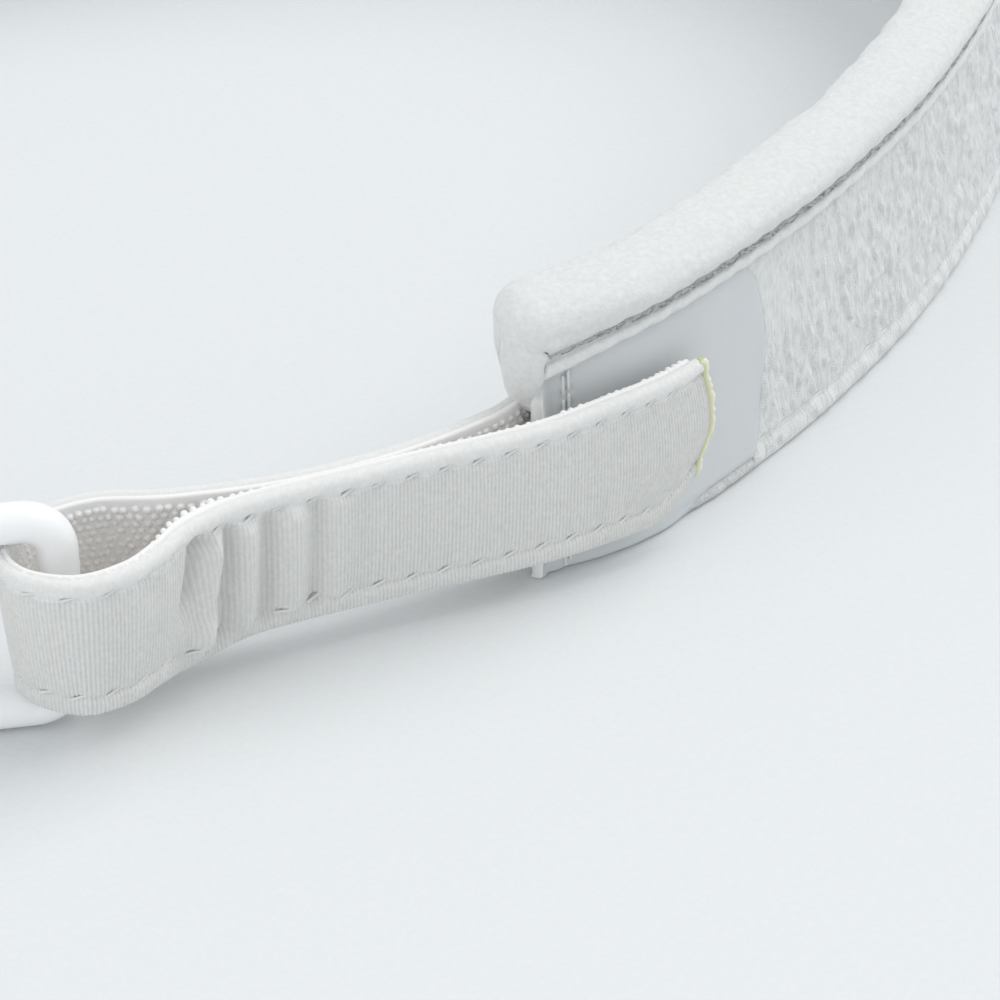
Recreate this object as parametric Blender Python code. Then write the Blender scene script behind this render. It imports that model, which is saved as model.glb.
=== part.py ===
"""Sports headband with a hook-and-loop rear closure.

A padded oval band stands on its lower edge with +Z up and the closure at the rear (+Y).  The
strap is sewn into the band end at -X, passes through a moulded ring that hangs on a webbing tab
at the other end, folds round the ring's bar and comes back to grip the smooth end patch.
"""
from math import atan2, cos, hypot, pi, sin, sqrt

import bpy
from mathutils import Vector

MM = 0.001

# Driving dimensions, in millimetres.
BAND_SHIFT = 65.88          # rear of the closure to the middle of the band
WALL_LEAN = 0.085          # the wall's top leans this far inwards for each mm of height
WALL_TOP = 25.6            # top of the shell, under the sweatband's lip
SHELL = 0.8                # thickness of the crepe shell and of the end patches
CLEARANCE = 0.3            # gap between touching layers
STIFFENER = 0.6
PAD_THICKNESS = 6.4        # outer face of the shell to the face that meets the head
TERRY = 1.6
ROLL_CENTRE = (-2.5, 26.1)
ROLL_DEPTH = 3.7           # half the roll's size across the wall
ROLL_RISE = 3.3            # half the roll's height
HEM_HEIGHT = 0.9
PATCH_LENGTH = 26.8        # band end to the seam between the end patch and the crepe
FOLD_RADIUS = 0.6          # centreline radius of the folded patch end
FOLD_RETURN = 5.0
STRAP_WIDTH = 16.0
WEBBING = 0.8
FASTENER_TAPE = 0.6
STRAP_BOTTOM = 3.0
RING_ROD = 3.8
RING_WIDTH = 22.8
RING_HEIGHT = 24.0
RING_BOTTOM = 0.2
RING_CORNER = 3.0          # centreline radius of the ring's corners
RING_PIVOT = (30.5, -3.9)  # the ring's bar inside the webbing tab
RING_FAR_BAR = (12.4, 1.1)
TAB_WIDTH = 13.5
THREAD = 0.4
LIP_DROP = 3.1             # roll centre down to the lip's lower edge
LIP_GAP = 0.15
RIM_STITCH = 24.9          # height of the topstitch through the lip
END_STITCH = 2.6           # band end to the upright stitch
CORE_START = 14.0          # band end to the stiffener and foam
PAD_START = 0.6            # band end to the sweatband
BAND_STEPS = 76            # straight steps along the whole band
MERGE_LENGTH = 0.5         # points nearer than this are one point

# Half of the band's outer lower edge, from the strap end round to the front, as (x, y).
BAND_HALF = [
    (-35.3, 0.3), (-47, -1.0), (-60.5, -6.4), (-76, -14.6), (-92, -25.6), (-108, -40.4),
    (-121.5, -57), (-127.5, -80), (-120, -105), (-96, -124), (-52, -136), (0, -140),
]

# The strap's outer face along its lower edge, from inside the band end, round the ring's bar
# and back to the hinge: x, y, height above STRAP_BOTTOM, lean towards +Y.
STRAP_BASE = [
    (-47, -5.4, -0.7, -0.085), (-36.5, -4.2, -0.7, -0.085), (-31, -3.1, -0.6, -0.02),
    (-21, -2.2, -0.2, 0.05), (-10, -2.2, 0.1, 0.06), (0, -3.6, 0.5, 0.05), (7, -5.5, 0.8, 0.04),
    (12.8, -4.8, 1.0, 0.05), (16.9, -0.7, 1.1, 0.07), (16.4, 3.3, 1.1, 0.09),
    (12.6, 6.4, 1.1, 0.1), (8.0, 6.3, 1.0, 0.1), (4.6, 4.8, 1.0, 0.1),
]
# The same line from the hinge to the free tip.
STRAP_FREE = [
    (4.3, 4.65, 1.0, 0.1), (0.5, 2.6, 0.9, 0.08), (-6, 1.55, 0.85, 0.07), (-20, 1.7, 0.6, 0.07),
    (-33, 2.4, 0.4, 0.04), (-41, 2.0, 0.3, -0.01), (-47.5, 1.0, 0.2, -0.03),
    (-53.6, -1.15, 0.2, -0.03),
]
STRAP_BASE_FREE_ROW = 12   # first step of the strap base outside the band end


def clear_scene():
    for item in list(bpy.data.objects):
        bpy.data.objects.remove(item, do_unlink=True)


def make_collection(name):
    collection = bpy.data.collections.new(name)
    bpy.context.scene.collection.children.link(collection)
    return collection


def make_material(name, colour, roughness):
    material = bpy.data.materials.new(name)
    material.use_nodes = True
    shader = material.node_tree.nodes["Principled BSDF"]
    shader.inputs["Base Color"].default_value = (*colour, 1.0)
    shader.inputs["Roughness"].default_value = roughness
    shader.inputs["Metallic"].default_value = 0.0
    return material


# Plan curves: every point is (x, y), and the band is shifted so that its middle is at y = 0.

def smooth_line(points, steps):
    """Catmull-Rom curve through the points, read at equal distances along it."""
    rows = [Vector(p) for p in points]
    rows = [rows[0] * 2 - rows[1]] + rows + [rows[-1] * 2 - rows[-2]]
    dense = []
    for before, start, end, after in zip(rows, rows[1:], rows[2:], rows[3:]):
        for part in range(24):
            t = part / 24
            dense.append(0.5 * (2 * start + (end - before) * t
                                + (2 * before - 5 * start + 4 * end - after) * t ** 2
                                + (3 * start - before - 3 * end + after) * t ** 3))
    dense.append(rows[-2])
    return even_line(dense, steps)


def even_line(dense, steps):
    lengths = [0.0]
    for start, end in zip(dense, dense[1:]):
        lengths.append(lengths[-1] + (end - start).length)
    line = []
    row = 0
    for step in range(steps + 1):
        target = lengths[-1] * step / steps
        while row < len(dense) - 2 and lengths[row + 1] < target:
            row += 1
        span = lengths[row + 1] - lengths[row]
        line.append(dense[row].lerp(dense[row + 1], (target - lengths[row]) / span))
    return line


def line_length(line):
    return sum((end - start).length for start, end in zip(line, line[1:]))


def cut_line(line, start, end):
    """The stretch of a line between two distances along it, keeping the points between."""
    stretch = []
    passed = 0.0
    for first, second in zip(line, line[1:]):
        length = (second - first).length
        if passed <= start < passed + length:
            stretch.append(first.lerp(second, (start - passed) / length))
        elif stretch and (stretch[-1] - first).length > MERGE_LENGTH:
            stretch.append(first)
        if passed < end <= passed + length:
            stretch.append(first.lerp(second, (end - passed) / length))
            return stretch
        passed += length
    return stretch


def side_of(line, index):
    """Unit vector to the right of the direction of travel: outwards on the band and strap."""
    before = line[max(index - 1, 0)]
    after = line[min(index + 1, len(line) - 1)]
    run = hypot(after.x - before.x, after.y - before.y)
    return Vector(((after.y - before.y) / run, (before.x - after.x) / run))


def offset_line(line, distance):
    return [Vector(p[:2]) + side_of(line, i) * distance for i, p in enumerate(line)]


def band_line():
    """The band's outer lower edge, from the strap end round the front to the ring end."""
    full = BAND_HALF + [(-x, y) for x, y in reversed(BAND_HALF[:-1])]
    return [p + Vector((0, BAND_SHIFT)) for p in smooth_line(full, BAND_STEPS)]


def raise_line(line, height):
    return [Vector((p.x, p.y, height)) for p in line]


# Sweeps.

def make_profile(name, points, guides):
    """Closed section as a flat curve: x runs outwards and y up."""
    curve = bpy.data.curves.new(name, "CURVE")
    curve.dimensions = "2D"
    spline = curve.splines.new("POLY")
    spline.points.add(len(points) - 1)
    for point, (out, up) in zip(spline.points, points):
        point.co = (out * MM, up * MM, 0, 1)
    spline.use_cyclic_u = True
    guide = bpy.data.objects.new(name, curve)
    guide.hide_render = True
    guide.display_type = "WIRE"
    guides.objects.link(guide)
    return guide


def sweep(name, line, section, material, parts, guides, leans=None, origin=(0, 0, 0)):
    """Solid swept along a line of (x, y, z); the section's points run clockwise."""
    curve = bpy.data.curves.new(name, "CURVE")
    curve.dimensions = "3D"
    curve.twist_mode = "Z_UP"
    spline = curve.splines.new("POLY")
    spline.points.add(len(line) - 1)
    for index, (point, place) in enumerate(zip(spline.points, line)):
        point.co = (*((place - Vector(origin)) * MM), 1)
        if leans:
            side = side_of(line, index)
            point.tilt = atan2(leans[index] * side.y, 1)
    curve.bevel_mode = "OBJECT"
    curve.bevel_object = make_profile(name + "_section", section, guides)
    curve.use_fill_caps = True
    return place_object(name, curve, material, parts, origin)


def tube(name, line, diameter, material, parts, resolution=2, origin=(0, 0, 0)):
    curve = bpy.data.curves.new(name, "CURVE")
    curve.dimensions = "3D"
    curve.bevel_depth = diameter / 2 * MM
    curve.bevel_resolution = resolution
    curve.use_fill_caps = True
    spline = curve.splines.new("POLY")
    spline.points.add(len(line) - 1)
    for point, place in zip(spline.points, line):
        point.co = (*((place - Vector(origin)) * MM), 1)
    return place_object(name, curve, material, parts, origin)


def place_object(name, data, material, parts, origin=(0, 0, 0)):
    data.materials.append(material)
    item = bpy.data.objects.new(name, data)
    item.location = Vector(origin) * MM
    parts.objects.link(item)
    return item


def leaned(points):
    """Slants a wall section inwards with height."""
    return [(out - WALL_LEAN * up, up) for out, up in points]


def arc(centre, radius, start, end, steps):
    """Points on an arc, angles in degrees from +x."""
    points = []
    for step in range(steps + 1):
        angle = (start + (end - start) * step / steps) * pi / 180
        points.append((centre[0] + radius * cos(angle), centre[1] + radius * sin(angle)))
    return points


def ellipse_arc(centre, depth, rise, start, end, steps):
    stretch = rise / depth
    points = arc((centre[0], 0), depth, start, end, steps)
    return [(out, centre[1] + up * stretch) for out, up in points]


def slab(outer, inner, bottom, top):
    """Rectangle between two depths, clockwise."""
    return [(outer, bottom), (inner, bottom), (inner, top), (outer, top)]


# The band.

def sweatband_section():
    """Lip over the shell's top, the padded roll, and the face that meets the head."""
    front = -PAD_THICKNESS + TERRY
    low = CLEARANCE + HEM_HEIGHT
    outside = ellipse_arc(ROLL_CENTRE, ROLL_DEPTH, ROLL_RISE, -24, 190, 11)
    inside = ellipse_arc(ROLL_CENTRE, ROLL_DEPTH - TERRY + 0.4, ROLL_RISE - TERRY, 195, 8, 7)
    lip = (CLEARANCE + LIP_GAP, ROLL_CENTRE[1] - LIP_DROP)
    points = [lip] + outside + [(-PAD_THICKNESS, 22.0), (-PAD_THICKNESS, low), (front, low),
                                (front, 23.0)] + inside
    return list(reversed(points))


def foam_section():
    front = -SHELL - STIFFENER - 2 * CLEARANCE - 0.3
    back = -PAD_THICKNESS + TERRY + CLEARANCE
    bulb = ellipse_arc((-3.1, 25.6), 1.3, 1.9, -40, 220, 6)
    points = [(front, 1.6)] + bulb + [(back, 22.6), (back, 1.6)]
    return list(reversed(points))


def shell_section():
    hem_inner = -PAD_THICKNESS
    return [(0, 0), (hem_inner, 0), (hem_inner, HEM_HEIGHT), (-SHELL, HEM_HEIGHT),
            (-SHELL, WALL_TOP), (0, WALL_TOP)]


def patch_line(line, mirror):
    """Patch centreline: from the crepe seam to the band end, round the fold and back inside."""
    outer = even_line(cut_line(line, FOLD_RADIUS + SHELL / 2, PATCH_LENGTH), 12)
    outer = offset_line(outer, -SHELL / 2)
    end = outer[0]
    inward = (outer[1] - outer[0]).normalized()
    across = Vector((-inward.y, inward.x))
    centre = end + across * FOLD_RADIUS
    fold = []
    for step in range(1, 6):
        angle = pi * step / 6
        fold.append(centre - across * FOLD_RADIUS * cos(angle) - inward * FOLD_RADIUS * sin(angle))
    inner = [end + across * 2 * FOLD_RADIUS + inward * FOLD_RETURN * part / 2 for part in range(3)]
    route = list(reversed(outer)) + fold + inner
    if mirror:
        route = [Vector((-p.x, p.y)) for p in reversed(route)]
    return route


def build_band(parts, guides, materials):
    line = band_line()
    total = line_length(line)
    crepe = cut_line(line, PATCH_LENGTH + CLEARANCE, total - PATCH_LENGTH - CLEARANCE)
    core = cut_line(line, CORE_START, total - CORE_START)
    whole = cut_line(line, PAD_START, total - PAD_START)
    sweep("outer_panel", raise_line(crepe, 0), leaned(shell_section()), materials["crepe"],
          parts, guides)
    stiffener = slab(-SHELL - CLEARANCE, -SHELL - CLEARANCE - STIFFENER, 1.3, 22.6)
    sweep("stiffener", raise_line(core, 0), leaned(stiffener), materials["interlining"],
          parts, guides)
    sweep("foam_core", raise_line(core, 0), leaned(foam_section()), materials["foam"],
          parts, guides)
    sweep("sweatband", raise_line(whole, 0), leaned(sweatband_section()), materials["terry"],
          parts, guides)
    patch = slab(SHELL / 2, -SHELL / 2, 0.05, WALL_TOP)
    for name, mirror in (("end_patch_strap_side", False), ("end_patch_ring_side", True)):
        route = patch_line(line, mirror)
        leans = [-WALL_LEAN / max(abs(side_of(route, i).y), 0.85) for i in range(len(route))]
        sweep(name, raise_line(route, 0), patch, materials["patch"], parts, guides, leans)


def build_band_threads(parts, materials):
    line = band_line()
    total = line_length(line)
    rim = cut_line(line, 2.0, total - 2.0)
    share = (ROLL_CENTRE[1] - RIM_STITCH) / ROLL_RISE
    rim_out = ROLL_CENTRE[0] + ROLL_DEPTH * sqrt(1 - share ** 2) + THREAD / 2 + 0.1
    rim_out -= WALL_LEAN * RIM_STITCH
    tube("rim_seam_thread", raise_line(offset_line(rim, rim_out), RIM_STITCH), THREAD,
         materials["thread"], parts, 0)
    hem = cut_line(line, PATCH_LENGTH + 1, total - PATCH_LENGTH - 1)
    hem_out = THREAD / 2 + 0.1 - WALL_LEAN * 2.7
    tube("hem_thread", raise_line(offset_line(hem, hem_out), 2.7), THREAD,
         materials["thread"], parts, 0)
    for name, mirror in (("end_thread_strap_side", 1), ("end_thread_ring_side", -1)):
        stitch = end_stitch_line(line)
        route = [Vector((p.x * mirror, p.y, p.z)) for p in stitch]
        tube(name, route, THREAD, materials["thread"], parts, 0)


def end_stitch_line(line):
    """Upright stitch that holds the folded patch end and the strap or tab behind it."""
    first = cut_line(line, END_STITCH, END_STITCH + 5)
    foot = first[0] + side_of(first, 0) * (THREAD / 2 + 0.05)
    lean = side_of(first, 0) * WALL_LEAN
    return [Vector((foot.x - lean.x * z, foot.y - lean.y * z, z)) for z in (0.8, 8, 16, 23.6)]


# The closure.

def strap_line(points, steps):
    """Evenly spaced route of the strap and its lean at each point."""
    rows = smooth_line([Vector(p) for p in points], steps)
    line = [Vector((p[0], p[1] + BAND_SHIFT, STRAP_BOTTOM + p[2])) for p in rows]
    leans = [p[3] for p in rows]
    return line, leans


def strap_layers(end, points, steps, parts, guides, materials, origin=(0, 0, 0)):
    line, leans = strap_line(points, steps)
    webbing = slab(0, -WEBBING, 0, STRAP_WIDTH)
    sweep(end + "_webbing", line, webbing, materials["webbing"], parts, guides, leans, origin)
    tape_face = -WEBBING - CLEARANCE
    tape = slab(tape_face, tape_face - FASTENER_TAPE, 0.6, STRAP_WIDTH - 0.6)
    tape_name = end + ("_hook_tape" if end == "strap_free" else "_loop_tape")
    sweep(tape_name, line, tape, materials["tape"], parts, guides, leans, origin)
    return line, leans


def strap_threads(end, line, leans, parts, materials, origin=(0, 0, 0)):
    for name, height in (("lower", 1.9), ("upper", STRAP_WIDTH - 1.9)):
        route = []
        for index in range(1, len(line) - 1):
            side = side_of(line, index)
            out = side * (THREAD / 2 + 0.1)
            lean = leans[index] * side.y * side
            place = line[index].copy()
            place.x += out.x + lean.x * height
            place.y += out.y + lean.y * height
            place.z += height
            route.append(place)
        tube(end + "_thread_" + name, route, THREAD, materials["thread"], parts, 0, origin)


def build_strap(parts, guides, materials):
    line, leans = strap_layers("strap_base", STRAP_BASE, 44, parts, guides, materials)
    outside = slice(STRAP_BASE_FREE_ROW, None)
    strap_threads("strap_base", line[outside], leans[outside], parts, materials)
    hinge = (STRAP_FREE[0][0], STRAP_FREE[0][1] + BAND_SHIFT + 1.9, 0)
    line, leans = strap_layers("strap_free", STRAP_FREE, 30, parts, guides, materials, hinge)
    strap_threads("strap_free", line, leans, parts, materials, hinge)


def build_ring(parts, guides, materials):
    """Rounded rectangle in the upright plane through the two bars."""
    pivot = Vector((RING_PIVOT[0], RING_PIVOT[1] + BAND_SHIFT))
    far = Vector((RING_FAR_BAR[0], RING_FAR_BAR[1] + BAND_SHIFT))
    along = (far - pivot).normalized()
    half_rod = RING_ROD / 2
    right = RING_WIDTH - RING_ROD
    top = RING_BOTTOM + RING_HEIGHT - half_rod
    bottom = RING_BOTTOM + half_rod
    corners = [((right - RING_CORNER, top - RING_CORNER), 90, 0),
               ((right - RING_CORNER, bottom + RING_CORNER), 0, -90),
               ((RING_CORNER, bottom + RING_CORNER), -90, -180),
               ((RING_CORNER, top - RING_CORNER), 180, 90)]
    curve = bpy.data.curves.new("ring", "CURVE")
    curve.dimensions = "3D"
    curve.bevel_depth = half_rod * MM
    curve.bevel_resolution = 6
    spline = curve.splines.new("POLY")
    flat = []
    for centre, start, end in corners:
        flat += arc(centre, RING_CORNER, start, end, 7)
    spline.points.add(len(flat) - 1)
    for point, (run, height) in zip(spline.points, flat):
        point.co = (along.x * run * MM, along.y * run * MM, height * MM, 1)
    spline.use_cyclic_u = True
    spline.use_smooth = True
    place_object("ring", curve, materials["plastic"], parts, (pivot.x, pivot.y, 0))


def build_tab(parts, guides, materials):
    """Webbing hairpin round the ring's bar, its two ends sewn into the band end."""
    bar = Vector((RING_PIVOT[0], RING_PIVOT[1] + BAND_SHIFT))
    radius = RING_ROD / 2 + CLEARANCE + WEBBING / 2
    strap_end = cut_line(band_line(), PAD_START, 12.0)
    outer = [Vector((-p.x, p.y)) for p in offset_line(strap_end, -2.95)]
    inner = [Vector((-p.x, p.y)) for p in offset_line(strap_end, -4.1)]
    loop = [bar + Vector((radius * cos(a), radius * sin(a)))
            for a in [(70 + 220 * step / 12) * pi / 180 for step in range(13)]]
    route = list(reversed(outer)) + loop + inner
    leans = [-WALL_LEAN] * len(outer) + [0.0] * len(loop) + [-WALL_LEAN] * len(inner)
    section = slab(WEBBING / 2, -WEBBING / 2, 0, TAB_WIDTH)
    low = RING_BOTTOM + (RING_HEIGHT - TAB_WIDTH) / 2
    sweep("ring_tab", raise_line(route, low), section, materials["webbing"], parts, guides, leans)


def main():
    clear_scene()
    parts = make_collection("sports_headband")
    guides = make_collection("sections")
    materials = {
        "crepe": make_material("crepe_shell", (0.66, 0.68, 0.67), 0.8),
        "patch": make_material("smooth_patch", (0.57, 0.60, 0.59), 0.75),
        "interlining": make_material("interlining", (0.8, 0.8, 0.78), 0.9),
        "foam": make_material("foam", (0.82, 0.8, 0.72), 0.9),
        "terry": make_material("terry_sweatband", (0.82, 0.83, 0.82), 0.95),
        "thread": make_material("thread", (0.85, 0.86, 0.85), 0.6),
        "webbing": make_material("ribbed_webbing", (0.6, 0.61, 0.59), 0.7),
        "tape": make_material("fastener_tape", (0.66, 0.64, 0.58), 0.7),
        "plastic": make_material("moulded_ring", (0.88, 0.89, 0.9), 0.25),
    }
    build_band(parts, guides, materials)
    build_band_threads(parts, materials)
    build_strap(parts, guides, materials)
    build_ring(parts, guides, materials)
    build_tab(parts, guides, materials)


main()
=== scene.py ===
"""Looks of the sports headband: towelling, crepe, webbing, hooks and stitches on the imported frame.

Lengths are in millimetres until a mesh is made.  The plan lines and the driving sizes repeat the
CAD model's, so every piece lies where its CAD solid does.
"""
from math import pi, radians

import bpy
import numpy as np
from mathutils import Matrix, Vector


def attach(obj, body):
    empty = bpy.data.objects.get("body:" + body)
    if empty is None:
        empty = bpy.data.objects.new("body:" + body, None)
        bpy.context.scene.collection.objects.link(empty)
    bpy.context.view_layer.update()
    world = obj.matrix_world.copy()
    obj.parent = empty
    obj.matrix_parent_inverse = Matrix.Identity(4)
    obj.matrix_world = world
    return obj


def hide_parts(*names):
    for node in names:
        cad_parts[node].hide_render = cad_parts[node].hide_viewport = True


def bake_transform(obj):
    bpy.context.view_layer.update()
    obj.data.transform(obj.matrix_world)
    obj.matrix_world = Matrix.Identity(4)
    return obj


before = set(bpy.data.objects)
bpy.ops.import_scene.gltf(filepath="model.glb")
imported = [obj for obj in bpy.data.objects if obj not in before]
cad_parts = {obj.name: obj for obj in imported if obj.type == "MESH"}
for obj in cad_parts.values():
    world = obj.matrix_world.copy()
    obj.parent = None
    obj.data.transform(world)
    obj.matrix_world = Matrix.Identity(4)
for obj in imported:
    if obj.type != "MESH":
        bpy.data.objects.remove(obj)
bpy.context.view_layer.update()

MM = 0.001

# Driving sizes shared with the CAD model.
BAND_SHIFT = 65.88
WALL_LEAN = 0.085
WALL_TOP = 25.6
PAD_THICKNESS = 6.4
STRAP_BOTTOM = 3.0
STRAP_WIDTH = 16.0
WEBBING = 0.8
CLEARANCE = 0.3
TAPE = 0.6
TAB_WIDTH = 13.5
BAND_HALF = [
    (-35.3, 0.3), (-47, -1.0), (-60.5, -6.4), (-76, -14.6), (-92, -25.6), (-108, -40.4),
    (-121.5, -57), (-127.5, -80), (-120, -105), (-96, -124), (-52, -136), (0, -140),
]
STRAP_BASE = [
    (-47, -5.4, -0.7, -0.085), (-36.5, -4.2, -0.7, -0.085), (-31, -3.1, -0.6, -0.02),
    (-21, -2.2, -0.2, 0.05), (-10, -2.2, 0.1, 0.06), (0, -3.6, 0.5, 0.05), (7, -5.5, 0.8, 0.04),
    (12.8, -4.8, 1.0, 0.05), (16.9, -0.7, 1.1, 0.07), (16.4, 3.3, 1.1, 0.09),
    (12.6, 6.4, 1.1, 0.1), (8.0, 6.3, 1.0, 0.1), (4.6, 4.8, 1.0, 0.1),
]
STRAP_FREE = [
    (4.3, 4.65, 1.0, 0.1), (0.5, 2.6, 0.9, 0.08), (-6, 1.55, 0.85, 0.07), (-20, 1.7, 0.6, 0.07),
    (-33, 2.4, 0.4, 0.04), (-41, 2.0, 0.3, -0.01), (-47.5, 1.0, 0.2, -0.03),
    (-53.6, -1.15, 0.2, -0.03),
]

# Sizes of the fine work.
STITCH = 3.2               # one topstitch
RIB = 0.37                 # one rib of the webbing
HOOK = 0.95                # one hook of the fastener tape
EDGE = 1.9                 # strap's top edge to its stitch line
EDGE_LOW = 2.2             # strap's bottom edge to its stitch line
HEM = 2.7                  # band edge to its hem stitch
LIP_STITCH = 24.55         # height of the topstitch through the rolled rim's lip
ROLL_SQUARE = 2.3          # superellipse power of the roll: a little squarer than round
ROLL_HALF = (4.15, 2.75)   # half the roll's depth and height
ROLL_CENTRE = (-2.5, 26.65)
LIP_POINTS = 9             # first points of the padding's outline: the lip
GROOVE_END = 12            # first point after the groove between the lip and the roll
PATCH_LENGTH = 26.4        # band end to the patch's inner edge, at its shortest
END_STITCH = 3.1           # band end to its upright stitches
END_STEP = 2.6             # one upright stitch
PAD_END = -1.6             # where the padding's round end lies, from the band end
STRAP_SPLIT = 59.6         # strap route where its two pieces meet, behind the ring's rail
STRAP_BEAD = 0.25          # how much thicker the strap's turned edges are than the webbing
STRAND = 0.15              # thread radius of the strap's stitches
TAPE_GAP = 0.08            # between the webbing's back and its tape
HOOK_ROWS = 18
HOOK_LOWEST = 1.15         # strap's bottom edge to its lowest row of hooks
BAR = (30.5, -3.9)         # ring's bar in the tab, in plan
BAR_RADIUS = 1.9
CAMERA_PLACE = (99.98, 280.42, 235.12)
CAMERA_TURN = 25
CAMERA_RISE = 36
FLOOR_HALF = 4000.0
NOSE_LEAN = 1.3            # how much wider the strap's nose is at the top than at the bottom


# Smooth noise and plan lines.

def noise(u, v, seed):
    """Smooth value noise between -1 and 1, one lump per unit."""
    cell_u, cell_v = np.floor(u), np.floor(v)
    part_u, part_v = u - cell_u, v - cell_v
    part_u, part_v = part_u ** 2 * (3 - 2 * part_u), part_v ** 2 * (3 - 2 * part_v)

    def corner(a, b):
        wave = np.sin((cell_u + a) * 127.1 + (cell_v + b) * 311.7 + seed * 74.7) * 43758.5453
        return (wave - np.floor(wave)) * 2 - 1

    low = corner(0, 0) * (1 - part_u) + corner(1, 0) * part_u
    high = corner(0, 1) * (1 - part_u) + corner(1, 1) * part_u
    return low * (1 - part_v) + high * part_v


def bump(x, centre, width):
    return np.exp(-((x - centre) / width) ** 2)


def ease(x, start, end):
    t = np.clip((x - start) / (end - start), 0, 1)
    return t * t * (3 - 2 * t)


class Route:
    """A smooth plan line through points, read by the distance along it."""

    def __init__(self, points):
        rows = np.array(points, float)
        rows[:, 1] += BAND_SHIFT
        rows = np.vstack([2 * rows[0] - rows[1], rows, 2 * rows[-1] - rows[-2]])
        t = np.linspace(0, 1, 60, endpoint=False)[:, None]
        dense = [0.5 * (2 * p1 + (p2 - p0) * t + (2 * p0 - 5 * p1 + 4 * p2 - p3) * t ** 2
                        + (3 * p1 - p0 - 3 * p2 + p3) * t ** 3)
                 for p0, p1, p2, p3 in zip(rows, rows[1:], rows[2:], rows[3:])]
        dense = np.vstack(dense + [rows[-2:-1]])
        ahead = (dense[1] - dense[0]) * 20
        beyond = (dense[-1] - dense[-2]) * 20
        self.rows = np.vstack([dense[0] - ahead, dense, dense[-1] + beyond])
        steps = np.hypot(*np.diff(self.rows[:, :2], axis=0).T)
        self.run = np.concatenate([[0], np.cumsum(steps)]) - steps[0]
        self.length = self.run[-2]
        tangent = np.gradient(self.rows[:, :2], self.run, axis=0)
        tangent /= np.linalg.norm(tangent, axis=1)[:, None]
        self.normal = np.column_stack([tangent[:, 1], -tangent[:, 0]])

    def read(self, table, distance):
        return np.stack([np.interp(distance, self.run, column) for column in table.T], -1)

    def at(self, distance):
        """Row and outward unit normal at each distance."""
        side = self.read(self.normal, distance)
        side /= np.linalg.norm(side, axis=-1)[..., None]
        return self.read(self.rows, distance), side


band = Route(BAND_HALF + [(-x, y) for x, y in reversed(BAND_HALF[:-1])])
JOIN = (4.45, 4.72, 1.0, 0.1)    # midway between the base line's end and the free line's start
strap = Route(STRAP_BASE[:-1] + [JOIN] + STRAP_FREE[1:])


def run_along(points):
    """Distance along a line of points, from 0 at the first."""
    return np.concatenate([[0], np.cumsum(np.hypot(*np.diff(points, axis=0).T))])


def band_point(distance, out, up):
    """Point of the band's wall: distance along, outwards from the shell's face, height."""
    row, side = band.at(distance)
    reach = (out - WALL_LEAN * up)[..., None]
    return np.concatenate([row[..., :2] + side * reach, up[..., None]], -1)


def strap_point(distance, out, up):
    """Point of the strap: out from its outer face, up from its lower edge, in its own lean."""
    row, side = strap.at(distance)
    turn = np.arctan(row[..., 3] * side[..., 1])
    nose = ease(row[..., 0], 9, 16.5) * np.abs(side[..., 0])
    out = out + NOSE_LEAN * nose * (up / STRAP_WIDTH - 0.5)
    sag = bump(row[..., 0], -0.3, 3.2) * (1 - ease(up, 0.5, 5.0)) * (side[..., 1] > 0.4)
    up = up - sag
    reach = out * np.cos(turn) + up * np.sin(turn)
    height = STRAP_BOTTOM + row[..., 2] - out * np.sin(turn) + up * np.cos(turn)
    return np.concatenate([row[..., :2] + side * reach[..., None], height[..., None]], -1)


# Meshes.

def add_mesh(name, points, faces, material, uv=None):
    mesh = bpy.data.meshes.new(name)
    mesh.from_pydata((points.reshape(-1, 3) * MM).tolist(), [], faces)
    mesh.materials.append(material)
    if uv is not None:
        layer = mesh.uv_layers.new(name="cloth")
        flat = np.zeros((len(mesh.loops), 2), np.float32)
        flat[:len(uv)] = uv
        layer.data.foreach_set("uv", flat.ravel())
    mesh.shade_smooth()
    piece = bpy.data.objects.new(name, mesh)
    bpy.context.scene.collection.objects.link(piece)
    return piece


def surface(name, points, uv, material, loop=False, caps=False, flip=False):
    """Grid of quads; with loop the second direction closes, with caps both ends do."""
    rows, columns = points.shape[:2]
    index = np.arange(rows * columns).reshape(rows, columns)
    if loop:
        index = np.hstack([index, index[:, :1]])
    corners = [index[:-1, :-1], index[1:, :-1], index[1:, 1:], index[:-1, 1:]]
    maps = [uv[:-1, :-1], uv[1:, :-1], uv[1:, 1:], uv[:-1, 1:]]
    if flip:
        corners.reverse()
        maps.reverse()
    faces = np.stack(corners, -1).reshape(-1, 4).tolist()
    flat_uv = np.stack(maps, -2).reshape(-1, 2)
    if caps:
        first, last = index[0, :columns].tolist(), index[-1, :columns].tolist()
        faces += [first[::-1], last] if flip else [first, last[::-1]]
    return add_mesh(name, points, faces, material, flat_uv)


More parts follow.
